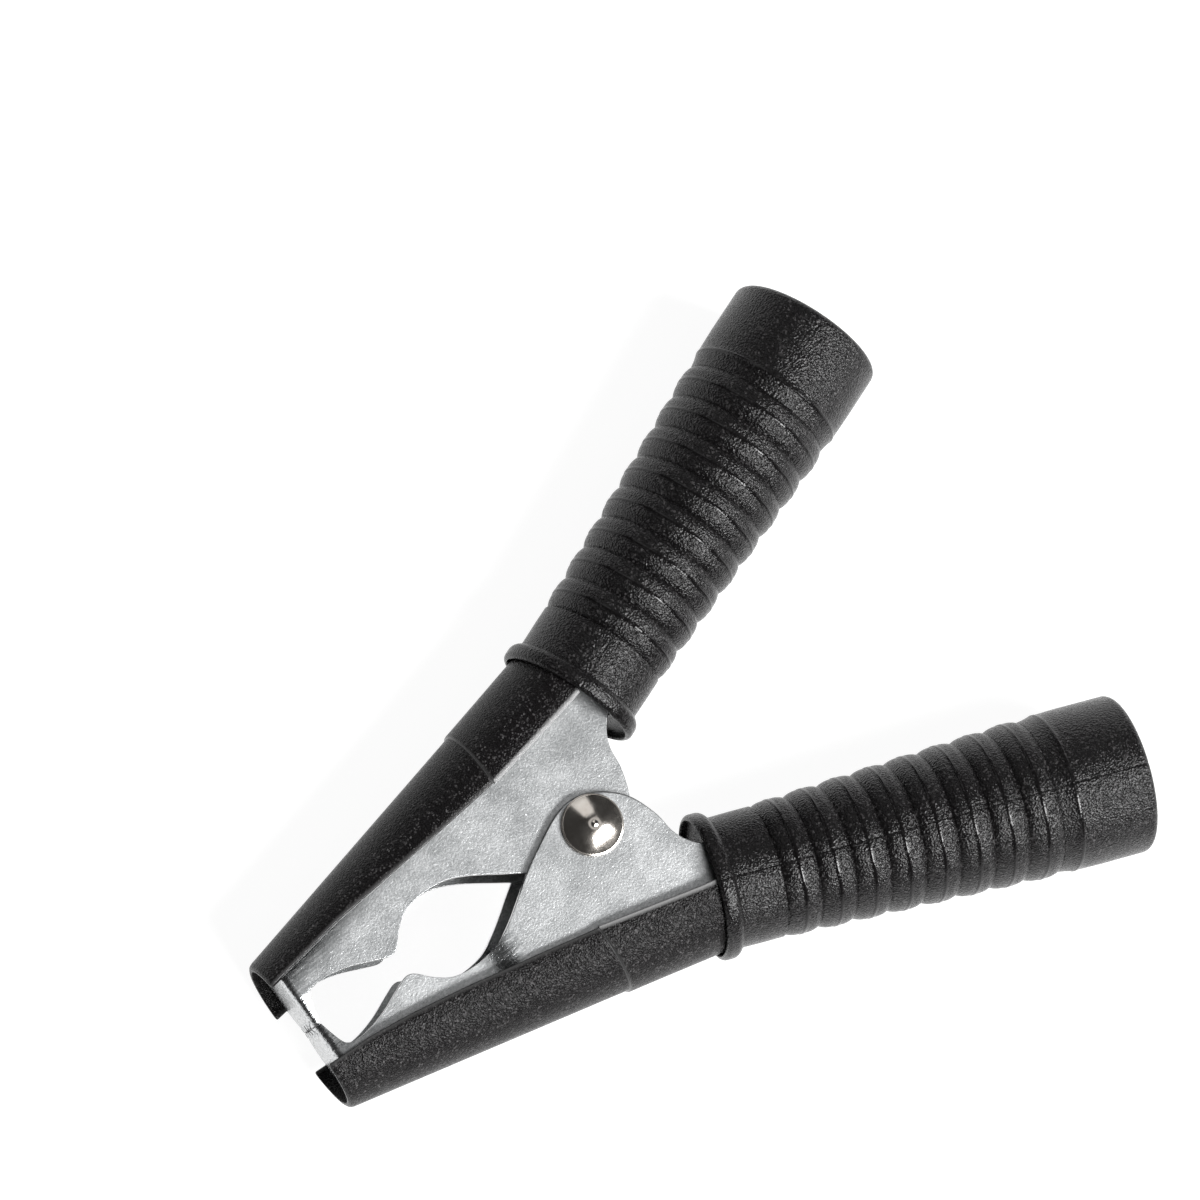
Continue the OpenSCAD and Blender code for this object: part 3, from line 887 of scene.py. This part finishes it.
@dataclass
class RibbedGrip:
    """Tubular moulded grip: rounded collar, plain band, finger ribs, plain rear end and an open bore."""

    half: Half
    start: float = 16.5
    end: float = 91.0
    collar_r: float = 12.2
    collar_len: float = 3.2
    band_r: float = 10.9
    ribs: int = 8
    first_valley: float = 27.45
    pitch: float = 5.9
    rib_r: tuple[float, float] = (11.25, 13.1)
    rib_depth: float = 0.7
    end_r: float = 13.3
    end_round: float = 1.3
    bore_r: float = 11.0
    bore_len: float = 17.0
    inner_r: float = 9.0
    recess_r: float = 11.3
    recess_depth: float = 2.1
    web_y: float = 7.0
    web_setback: float = 1.1
    web_angles: tuple[float, float] = (128.0, 131.0)
    seam_half: float = 0.28
    segments: int = 96

    def ribbed(self) -> Array:
        """The ribs: each rises from a sharp valley to a narrow flat crest line and falls to the next one.

        The height over a rib is one less the distance from the crest, in half pitches, to the power 3.4.
        """
        side = [0.08, 0.1, 0.15, 0.26, 0.4, 0.55, 0.7, 0.82, 0.92, 0.975]
        u = np.array([-1.0, *(-share for share in reversed(side)), 0.0, *side])
        k = np.arange(self.ribs)[:, None]
        crest = self.rib_r[0] + (self.rib_r[1] - self.rib_r[0]) * (k + 0.5 * u) / (self.ribs - 1)
        along = self.first_valley + self.pitch * (k + 0.5 + 0.5 * u)
        shape = 1 - np.abs(u) ** 3.4 + 0.11 * (np.abs(u) < 0.09)
        radius = crest - self.rib_depth * (1 - shape)
        return np.stack([along.ravel(), radius.ravel()], axis=1)

    def profile(self) -> Array:
        """Closed section of the wall as rows of (distance along the axis, radius), outside first."""
        last_valley = self.first_valley + self.pitch * self.ribs
        lip = corner((self.start + 0.8, self.collar_r - 0.8), 0.8, 180.0, 90.0, 7)
        bead = corner((self.start + self.collar_len - 1.5, self.collar_r - 1.5), 1.5, 90.0, 8.0, 10)
        collar_end = self.start + self.collar_len
        foot = [(collar_end + 0.25, self.band_r + 0.04), (collar_end + 0.8, self.band_r),
                (24.0, self.band_r + 0.05), (self.first_valley - 0.25, self.band_r + 0.04)]
        valley_r = self.rib_r[1] + 0.25 - self.rib_depth
        flank = [(1.4, 0.42), (2.6, 0.12), (2.8, 0.02), (3.1, 0.02), (3.3, 0.1), (4.2, 0.08)]
        rise = [(last_valley, valley_r), *((last_valley + a, self.end_r - b) for a, b in flank),
                (82.0, self.end_r)]
        rim = corner((self.end - self.end_round, self.end_r - self.end_round), self.end_round, 90.0, 0.0, 8)
        mouth = corner((self.end - 0.5, self.bore_r + 0.5), 0.5, 0.0, -90.0, 5)
        mouth[:, 1] = np.maximum(mouth[:, 1], self.bore_r)
        bore = [(self.end - 6.0, self.bore_r), (self.end - self.bore_len, self.bore_r),
                (self.start + 14.0, self.inner_r), (self.start + 8.0, self.inner_r)]
        floor = self.start + self.recess_depth
        recess = [(floor, self.inner_r), (floor, self.recess_r),
                  (self.start + 0.3, self.recess_r), (self.start, self.recess_r + 0.15)]
        return np.vstack([lip, bead, foot, self.ribbed(), rise, rim, mouth, bore, recess])

    def angles(self) -> Array:
        """Angles round the axis: even, with more of them beside the two parting lines."""
        even = np.linspace(0.0, 2 * math.pi, self.segments, endpoint=False) + math.pi / self.segments
        extra = np.array([-0.034, -0.022, -0.0145, -0.0075, 0.0, 0.0075, 0.0145, 0.022, 0.034])
        seams = np.concatenate([math.pi / 2 + extra, 1.5 * math.pi + extra])
        apart = np.min(np.abs(even[:, None] - np.array([math.pi / 2, 1.5 * math.pi])), axis=1) > 0.04
        return np.sort(np.concatenate([even[apart], seams]))

    def make(self, frame: ClampFrame) -> bpy.types.Object:
        """Turns the profile about the grip's axis and sinks the parting lines.

        Args:
            frame: where the clamp stands.

        Returns:
            The finished grip.
        """
        profile = self.profile()
        angles = self.angles()
        spun = revolve(profile, angles)
        along = profile[:, :1]
        outer_rows = np.arange(len(profile))[:, None] < len(profile) - 14
        outside = (profile[:, 1:] > self.band_r - 0.3) & outer_rows
        seams = np.array([math.pi / 2, 1.5 * math.pi])
        from_seam = np.min(np.abs(angles[None, :, None] - seams), axis=2) * profile[:, 1:]
        deepest = 0.15 if self.half is Half.LOWER else 0.05
        sink = deepest * np.clip(1 - from_seam / self.seam_half, 0.0, 1.0) * outside
        radius = np.hypot(spun[:, :, 1], spun[:, :, 2])
        spun[:, :, 1:] *= ((radius - sink) / radius)[:, :, None]
        crests = self.first_valley + self.pitch * (np.arange(self.ribs) + 0.5)
        on_crest = np.max(bump(along, crests[None, :], 0.3), axis=1, keepdims=True)
        ridge = bump(along, self.first_valley + self.pitch * self.ribs + 2.95, 0.3)
        bead = smoothstep(self.start + self.collar_len + 0.4, self.start + self.collar_len - 0.6, along)
        polish = np.clip(on_crest + ridge + 0.3 * bead, 0.0, 1.0)
        floor_rows = np.abs(along - self.start - self.recess_depth) < 0.01
        low, high = (math.cos(math.radians(angle)) for angle in self.web_angles)
        open_side = smoothstep(low, high, np.cos(angles))[None, :]
        spun[:, :, 0] -= (self.recess_depth - self.web_setback) * floor_rows * open_side
        chord = np.minimum(1.0, self.web_y / np.maximum(0.3, np.abs(np.cos(angles))) / self.inner_r)[None, :]
        web = floor_rows * open_side * (np.abs(profile[:, 1:] - self.inner_r) < 0.01)
        spun[:, :, 1:] *= (1.0 + (chord - 1.0) * web)[:, :, None]
        points = HANDLE.at(spun[:, :, 0], spun[:, :, 1], spun[:, :, 2])
        grid = Grid(points[:, ::-1], wrap_rows=True, wrap_columns=True, paint={"polish": polish[:, ::-1]})
        piece = frame.build(f"{self.half.value}_ribbed_grip", [grid], self.half, crease=24.0)
        finish_piece(piece, self.half.node("grip"), self.half.body, "grip_plastic", GRIP_PLASTIC.material())
        return piece


# ---------------------------------------------------------------- pivot and spring


@dataclass
class PivotSet:
    """What sits on the pivot axis: the domed rivet, its spacer tube and the torsion spring."""

    shank_r: float = 2.5
    head_r: float = 5.1
    head_h: float = 2.1
    flange: float = 0.4
    ear_half: float = 8.7
    spacer_wall: float = 1.1
    spacer_half: float = 6.05
    wire_r: float = 0.9
    coil_r: float = 5.0
    coil_half: float = 4.7
    coil_turns: int = 6
    leg_angle: float = 48.0
    leg_reach: float = 18.6
    foot: float = 7.0

    def head_profile(self) -> Array:
        """One head from the shank to the middle: a flange, then a low, slightly conical dome with a pip."""
        top = self.ear_half + self.head_h
        base = self.ear_half + self.flange
        edge = corner((base - 0.2, self.head_r - 0.2), 0.2, 90.0, 0.0, 4)
        r = np.linspace(self.head_r - 0.28, 0.0, 40)
        t = r / (self.head_r - 0.28)
        dome = base + (top - base) * (1 - 0.72 * t**2 - 0.28 * t)
        dome = dome + 0.05 * bump(r, 0.0, 0.28) - 0.05 * bump(r, 0.62, 0.2)
        foot = np.array([[self.ear_half - 1.5, self.shank_r], [self.ear_half, self.shank_r],
                         [self.ear_half, self.head_r - 0.05], [self.ear_half + 0.05, self.head_r]])
        return np.vstack([foot, edge, np.stack([dome, r], axis=1)])

    def turned(self, profile: Array, segments: int, wrap: bool) -> Grid:
        """Turns a profile of (height, radius) about the pivot axis."""
        angles = np.linspace(0.0, 2 * math.pi, segments, endpoint=False)
        spun = revolve(profile, angles)
        return Grid(spun[:, ::-1][:, :, [1, 2, 0]], wrap_rows=wrap, wrap_columns=True)

    def make_rivet(self, frame: ClampFrame) -> bpy.types.Object:
        """Builds the rivet: a head at each end of the shank, closed at both poles."""
        head = self.head_profile()
        far = head[::-1] * np.array([-1.0, 1.0])
        piece = frame.build("domed_rivet", [self.turned(np.vstack([far, head]), 96, False)], crease=50.0)
        finish_piece(piece, "pivot_rivet", Half.LOWER.body, "nickel_rivet", NICKEL.material())
        return piece

    def make_spacer(self, frame: ClampFrame) -> bpy.types.Object:
        """Builds the spacer tube with eased ends."""
        outer, inner, half = self.shank_r + self.spacer_wall, self.shank_r + 0.06, self.spacer_half
        profile = np.array([
            [-half, inner + 0.15], [-half, outer - 0.2], [-half + 0.2, outer], [0, outer],
            [half - 0.2, outer], [half, outer - 0.2], [half, inner + 0.15], [half - 0.15, inner],
            [0, inner], [0.15 - half, inner],
        ])
        piece = frame.build("rivet_spacer_tube", [self.turned(profile, 64, True)], crease=30.0)
        finish_piece(piece, "spacer_tube", Half.LOWER.body, "plain_steel", PLAIN_STEEL.material())
        return piece

    def spring_path(self) -> Array:
        """Middle of the wire: a foot and a leg, a helix, then the other leg and foot, mirrored.

        The leg leaves the coil on its tangent, at the leg's angle, and reaches the tail's inside at the knee,
        where it bends to lie along the grip. The helix turns clockwise and rises evenly.
        """
        lean = math.radians(self.leg_angle - HANDLE.angle)
        length = (self.leg_reach - self.coil_r * math.cos(lean)) / math.sin(lean)
        a, b = math.radians(self.leg_angle), math.radians(HANDLE.angle)
        way, rest = np.array([math.cos(a), math.sin(a)]), np.array([math.cos(b), math.sin(b)])
        knee = self.coil_r * np.array([-math.sin(a), math.cos(a)]) + length * way
        t = np.linspace(0.0, 1.0, 12)[:, None]
        turn = (1 - t) ** 2 * (knee + 2.2 * rest) + 2 * t * (1 - t) * knee + t**2 * (knee - 2.2 * way)
        leg = np.vstack([knee + self.foot * rest, knee + 4.5 * rest, turn, knee - (length - 1.0) * 0.5 * way])
        sweep = 360.0 * self.coil_turns - 180.0 - 2 * self.leg_angle
        q = np.linspace(0.0, 1.0, 340)
        angle = np.radians(-90.0 - self.leg_angle - sweep * q)
        rise = self.coil_half * (2 * q - 1)
        coil = np.stack([self.coil_r * np.cos(angle), self.coil_r * np.sin(angle), rise], axis=1)
        low = np.hstack([leg * np.array([1.0, -1.0]), np.full((len(leg), 1), -self.coil_half)])
        high = np.hstack([leg, np.full((len(leg), 1), self.coil_half)])[::-1]
        return even_spacing(np.vstack([low, coil, high]), 0.42)

    def make_spring(self, frame: ClampFrame) -> bpy.types.Object:
        """Sweeps a circle along the spring's path and rounds its ends.

        At each point of the path the circle stands on two directions: level and square to the path, and
        their cross product.
        """
        path = self.spring_path()
        ahead = np.gradient(path, axis=0)
        ahead /= np.linalg.norm(ahead, axis=1, keepdims=True)
        level = np.stack([-ahead[:, 1], ahead[:, 0], np.zeros(len(path))], axis=1)
        level /= np.linalg.norm(level, axis=1, keepdims=True)
        up = np.cross(ahead, level)
        angles = np.linspace(0.0, 2 * math.pi, 14, endpoint=False)[None, :, None]
        ring = level[:, None] * np.cos(angles) + up[:, None] * np.sin(angles)
        rows = path[:, None] + self.wire_r * ring
        cap = np.radians(np.linspace(90.0, 0.0, 5)[:-1])[:, None, None]
        reach = 0.5 * self.wire_r * np.sin(cap)
        shrunk = self.wire_r * np.cos(cap)
        first = path[0] - reach * ahead[0] + shrunk * ring[0][None]
        last = path[-1] + reach * ahead[-1] + shrunk * ring[-1][None]
        grid = Grid(np.vstack([first, rows, last[::-1]])[:, ::-1], wrap_columns=True)
        piece = frame.build("torsion_spring_wire", [grid], crease=60.0)
        piece.data.materials.append(SPRING_WIRE.material())
        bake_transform(piece)
        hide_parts("torsion_spring")
        LOG.info("%s: %d faces, winds up between the halves", piece.name, len(piece.data.polygons))
        return piece


# ---------------------------------------------------------------- studio


@dataclass
class Studio:
    """White board, soft lights and the camera, placed from the pivot."""

    target: tuple[float, float, float] = (24.918, 28.746, 0.0)
    distance: float = 880.9
    elevation: float = 75.82
    heading: float = 5.503
    roll: float = -48.745
    lens: float = 162.59
    board: float = 6.0
    world: float = 0.045

    def look(self) -> tuple[Vector, Vector, Vector]:
        """The camera's right, up and forward directions from its heading, elevation and roll."""
        e, h, roll = (math.radians(v) for v in (self.elevation, self.heading, self.roll))
        forward = Vector((math.cos(e) * math.cos(h), math.cos(e) * math.sin(h), -math.sin(e)))
        level = forward.cross(Vector((0.0, 0.0, 1.0))).normalized()
        upright = level.cross(forward)
        up = upright * math.cos(roll) + level * math.sin(roll)
        return forward.cross(up), up, forward

    def make_camera(self, frame: ClampFrame) -> bpy.types.Object:
        """Makes the scene's camera."""
        right, up, forward = self.look()
        data = bpy.data.cameras.new("studio_camera")
        data.lens = self.lens
        data.sensor_width = 36.0
        data.clip_start = 0.05
        camera = bpy.data.objects.new("studio_camera", data)
        turn = Matrix((right, up, -forward)).transposed().to_4x4()
        place = Vector(frame.pivot) + (Vector(self.target) - forward * self.distance) * MM
        camera.matrix_world = Matrix.Translation(place) @ turn
        bpy.context.scene.collection.objects.link(camera)
        bpy.context.scene.camera = camera
        return camera

    def make_light(
        self, name: str, side: Vector, distance: float, size: tuple[float, float], watts: float
    ) -> bpy.types.Object:
        """Makes a soft light that shines at the clamp from one side, its long edge level.

        Args:
            name: name of the light.
            side: direction from the clamp to the light.
            distance: how far away it stands, in metres.
            size: its length along X and its other width, in metres.
            watts: its power.

        Returns:
            The light.
        """
        data = bpy.data.lights.new(name, "AREA")
        data.shape = "RECTANGLE"
        data.size, data.size_y = size
        data.energy = watts
        light = bpy.data.objects.new(name, data)
        back = side.normalized()
        long_edge = (Vector((1.0, 0.0, 0.0)) - back * back.x).normalized()
        turn = Matrix((long_edge, back.cross(long_edge), back)).transposed().to_4x4()
        light.matrix_world = Matrix.Translation(back * distance) @ turn
        bpy.context.scene.collection.objects.link(light)
        return light

    def make_board(self) -> bpy.types.Object:
        """Makes the white board under the clamp: a flat grid that turns up in a wide arc at its edges."""
        q = np.linspace(0.0, 2 * math.pi, 96, endpoint=False)
        curl = [self.board + 0.6, self.board + 0.9, self.board + 1.0]
        radius = np.concatenate([np.linspace(0.0, self.board, 12), curl])
        height = np.concatenate([np.zeros(12), [0.1, 0.4, 1.0]])
        x = radius[:, None] * np.cos(q)
        y = radius[:, None] * np.sin(q)
        points = np.stack([x, y, np.broadcast_to(height[:, None], x.shape)], axis=2)
        grid = Grid(points, wrap_columns=True)
        mesh = bpy.data.meshes.new("studio_board")
        mesh.from_pydata(points.reshape(-1, 3).tolist(), [], grid.quads(0).tolist())
        close_seams(mesh)
        mesh.shade_smooth()
        board = bpy.data.objects.new("studio_board", mesh)
        bpy.context.scene.collection.objects.link(board)
        mesh.materials.append(STUDIO_BOARD.material())
        return board

    def make_world(self) -> None:
        """Fills the room with even white light."""
        world = bpy.data.worlds.new("studio_world")
        world.use_nodes = True
        background = world.node_tree.nodes["Background"]
        background.inputs[0].default_value = (1.0, 1.0, 1.0, 1.0)
        background.inputs[1].default_value = self.world
        bpy.context.scene.world = world

    def make(self, frame: ClampFrame) -> None:
        """Makes the board, the world, the lights and the camera."""
        self.make_board()
        self.make_world()
        self.make_light("key_light", Vector((0.24, -0.58, 0.78)), 1.5, (1.3, 0.36), 52.0)
        self.make_light("top_light", Vector((0.25, 0.02, 0.97)), 1.8, (1.2, 1.0), 2.2)
        self.make_light("back_light", Vector((0.25, 0.62, 0.62)), 1.6, (0.9, 0.9), 2.4)
        self.make_camera(frame)
        scene = bpy.context.scene
        scene.view_settings.view_transform = "Standard"
        LOG.info("studio: camera at %.3f m from the clamp", self.distance * MM)


def main() -> None:
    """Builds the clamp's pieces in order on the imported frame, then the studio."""
    logging.basicConfig(level=logging.INFO, format="%(name)s: %(message)s")
    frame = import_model()
    clamp = ClampFrame.from_record(frame)
    JawStamping(Half.LOWER, ear_half=8.7).make(clamp)
    JawStamping(Half.UPPER, ear_half=7.35).make(clamp)
    pivot = PivotSet()
    pivot.make_rivet(clamp)
    pivot.make_spacer(clamp)
    pivot.make_spring(clamp)
    TipCover(Half.LOWER, near_rim=(1.2, -0.3, -0.9, -1.2, -1.2, -1.1, -0.2),
             far_rim=(1.2, -0.3, -0.9, -1.2, -1.2, -1.1, -0.2)).make(clamp)
    TipCover(Half.UPPER, near_rim=(4.3, 3.9, 3.55, 2.4, 1.0, -0.2, -0.4),
             far_rim=(-0.7, -1.4, -1.8, -2.0, -1.8, -1.4, -0.6)).make(clamp)
    RibbedGrip(Half.LOWER).make(clamp)
    RibbedGrip(Half.UPPER).make(clamp)
    Studio().make(clamp)


if __name__ == "__main__":
    main()
